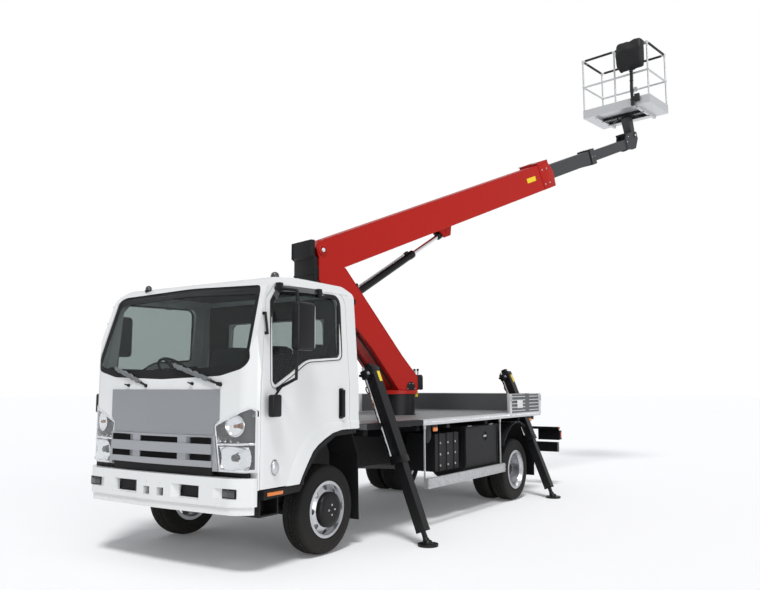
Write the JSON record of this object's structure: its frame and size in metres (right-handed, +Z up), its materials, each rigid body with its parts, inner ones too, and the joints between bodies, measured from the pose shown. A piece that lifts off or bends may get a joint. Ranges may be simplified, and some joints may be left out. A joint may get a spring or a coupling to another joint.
{
  "type": "cherry picker truck",
  "caption": "Light cab-over truck with a slewing telescopic boom, a turning work basket, four inclined outrigger legs, opening doors and steered wheels.",
  "frame": {"origin": "middle of the whole model's box in plan, on the ground", "axes": "+X to the truck's left, -Y to its front, +Z up"},
  "size_m": [3.7676, 9.6014, 7.4093],
  "materials": {
    "white_paint": "gloss white paint",
    "silver_paint": "satin silver-grey paint",
    "red_paint": "gloss red paint",
    "grey_paint": "satin dark grey paint",
    "black_paint": "satin black paint",
    "frame_paint": "satin black frame paint",
    "silver_steel": "silver wheel paint",
    "galvanised": "galvanised steel",
    "chrome": "hard chrome",
    "aluminium": "plain and chequered aluminium",
    "black_plastic": "grained black plastic",
    "grey_plastic": "grained dark grey plastic",
    "lamp_clear": "clear lamp cover",
    "lamp_red": "red lamp cover",
    "glass": "lightly tinted glass",
    "seat_cloth": "dark woven cloth",
    "cast_grey": "bare grey castings",
    "tyre": "black tyre rubber"
  },
  "bodies": {
    "chassis": {"chassis_frame": "frame_paint", "subframe": "frame_paint", "front_axle": "frame_paint", "rear_axle": "frame_paint", "engine_block": "cast_grey", "prop_shaft": "cast_grey", "exhaust": "galvanised", "side_boxes": "black_plastic", "toolbox": "black_plastic", "side_guards": "galvanised", "deck": "aluminium", "deck_boards": "aluminium", "rear_mudguards": "black_plastic", "rear_bars": "black_paint", "tail_lamps": "lamp_red", "cab_shell": "white_paint", "cab_glass": "glass", "front_panel": "silver_paint", "grille": "silver_paint", "headlamps": "lamp_clear", "bumper": "white_paint", "cab_steps": "black_plastic", "seats": "seat_cloth", "dashboard": "grey_plastic", "turret_base": "black_paint", "outriggers_front": "black_paint", "outriggers_rear": "black_paint"},
    "toolbox_lid": {"toolbox_lid": "black_plastic"},
    "tie_rod": {"tie_rod": "frame_paint"},
    "turret": {"turret_column": "red_paint", "turret_hood": "black_plastic"},
    "boom": {"boom_outer": "red_paint"},
    "boom_mid": {"boom_mid": "grey_paint"},
    "boom_fly": {"boom_fly": "grey_paint"},
    "cylinder_rod": {"cylinder_rod": "chrome"},
    "cylinder_barrel": {"cylinder_barrel": "black_paint"},
    "basket_bracket": {"basket_bracket": "grey_paint"},
    "basket": {"basket_frame": "aluminium", "basket_controls": "black_plastic"},
    "door_left": {"door_left": "white_paint", "door_glass_left": "glass", "mirror_left": "black_plastic"},
    "knuckle_left": {"knuckle_left": "frame_paint"},
    "wheel_front_left": {"rim_front_left": "silver_steel", "tyre_front_left": "tyre"},
    "wheel_rear_left": {"rims_rear_left": "silver_steel", "tyres_rear_left": "tyre"},
    "leg_front_left": {"leg_front_left": "black_paint"},
    "leg_rear_left": {"leg_rear_left": "black_paint"},
    "door_right": {"door_right": "white_paint", "door_glass_right": "glass", "mirror_right": "black_plastic"},
    "knuckle_right": {"knuckle_right": "frame_paint"},
    "wheel_front_right": {"rim_front_right": "silver_steel", "tyre_front_right": "tyre"},
    "wheel_rear_right": {"rims_rear_right": "silver_steel", "tyres_rear_right": "tyre"},
    "leg_front_right": {"leg_front_right": "black_paint"},
    "leg_rear_right": {"leg_rear_right": "black_paint"}
  },
  "joints": [
    {"name": "steer_left", "type": "hinge", "parent": "chassis", "child": "knuckle_left", "pos_m": [0.37924, -3.68177, 0.3835], "axis": [0, 0, 1], "range_deg": [-33, 33]},
    {"name": "wheel_front_left_spin", "type": "hinge", "parent": "knuckle_left", "child": "wheel_front_left", "pos_m": [0.54724, -3.68177, 0.3835], "axis": [1, 0, 0], "continuous": true},
    {"name": "wheel_rear_left_spin", "type": "hinge", "parent": "chassis", "child": "wheel_rear_left", "pos_m": [0.65524, 0.13323, 0.3835], "axis": [1, 0, 0], "continuous": true},
    {"name": "door_left_open", "type": "hinge", "parent": "chassis", "child": "door_left", "pos_m": [0.70724, -4.60077, 1.5], "axis": [0, 0, -1], "range_deg": [0, 65]},
    {"name": "leg_front_left_slide", "type": "slide", "parent": "chassis", "child": "leg_front_left", "axis": [0.3665, 0, -0.9304], "range_m": [-0.4, 0.25]},
    {"name": "leg_rear_left_slide", "type": "slide", "parent": "chassis", "child": "leg_rear_left", "axis": [0.3665, 0, -0.9304], "range_m": [-0.4, 0.25]},
    {"name": "steer_right", "type": "hinge", "parent": "chassis", "child": "knuckle_right", "pos_m": [-0.96476, -3.68177, 0.3835], "axis": [0, 0, 1], "range_deg": [-33, 33]},
    {"name": "wheel_front_right_spin", "type": "hinge", "parent": "knuckle_right", "child": "wheel_front_right", "pos_m": [-1.13276, -3.68177, 0.3835], "axis": [1, 0, 0], "continuous": true},
    {"name": "wheel_rear_right_spin", "type": "hinge", "parent": "chassis", "child": "wheel_rear_right", "pos_m": [-1.24076, 0.13323, 0.3835], "axis": [1, 0, 0], "continuous": true},
    {"name": "door_right_open", "type": "hinge", "parent": "chassis", "child": "door_right", "pos_m": [-1.29276, -4.60077, 1.5], "axis": [0, 0, 1], "range_deg": [0, 65]},
    {"name": "leg_front_right_slide", "type": "slide", "parent": "chassis", "child": "leg_front_right", "axis": [-0.3665, 0, -0.9304], "range_m": [-0.4, 0.25]},
    {"name": "leg_rear_right_slide", "type": "slide", "parent": "chassis", "child": "leg_rear_right", "axis": [-0.3665, 0, -0.9304], "range_m": [-0.4, 0.25]},
    {"name": "tie_rod_slide", "type": "slide", "parent": "chassis", "child": "tie_rod", "axis": [-1, 0, 0], "range_m": [-0.085, 0.085]},
    {"name": "toolbox_lid_open", "type": "hinge", "parent": "chassis", "child": "toolbox_lid", "pos_m": [0.71924, -0.78177, 0.976], "axis": [0, -1, 0], "range_deg": [0, 85]},
    {"name": "slew", "type": "hinge", "parent": "chassis", "child": "turret", "pos_m": [-0.29276, -1.08177, 1.345], "axis": [0, 0, -1], "range_deg": [-15.5, 344.5]},
    {"name": "luff", "type": "hinge", "parent": "turret", "child": "boom", "pos_m": [-0.63483, -2.31521, 2.98], "axis": [0.9636, -0.2672, 0], "range_deg": [-34.3, 52.7]},
    {"name": "telescope_mid", "type": "slide", "parent": "boom", "child": "boom_mid", "axis": [0.2473, 0.8916, 0.3795], "range_m": [-1.1, 2.15]},
    {"name": "telescope_fly", "type": "slide", "parent": "boom_mid", "child": "boom_fly", "axis": [0.2473, 0.8916, 0.3795], "range_m": [-1.1, 2.15]},
    {"name": "cylinder_swing", "type": "hinge", "parent": "boom", "child": "cylinder_rod", "pos_m": [-0.06026, -0.24341, 3.495], "axis": [0.9636, -0.2672, 0], "range_deg": [-3, 3]},
    {"name": "cylinder_stroke", "type": "slide", "parent": "cylinder_rod", "child": "cylinder_barrel", "axis": [-0.2264, -0.8164, -0.5313], "range_m": [-0.4, 0.6]},
    {"name": "basket_level", "type": "hinge", "parent": "boom_fly", "child": "basket_bracket", "pos_m": [1.23962, 4.44382, 5.90643], "axis": [0.9636, -0.2672, 0], "range_deg": [-52.7, 34.3]},
    {"name": "basket_turn", "type": "hinge", "parent": "basket_bracket", "child": "basket", "pos_m": [1.2145, 4.35324, 6.24993], "axis": [0, 0, 1], "range_deg": [-96, 84]}
  ],
  "couplings": [
    {"joint": "steer_right", "follows": "steer_left", "ratio": 1},
    {"joint": "tie_rod_slide", "follows": "steer_left", "m_per_rad": 0.1371},
    {"joint": "telescope_fly", "follows": "telescope_mid", "ratio": 1},
    {"joint": "cylinder_swing", "follows": "luff", "ratio": -0.045},
    {"joint": "cylinder_stroke", "follows": "luff", "m_per_rad": 0.641},
    {"joint": "basket_level", "follows": "luff", "ratio": -1}
  ]
}
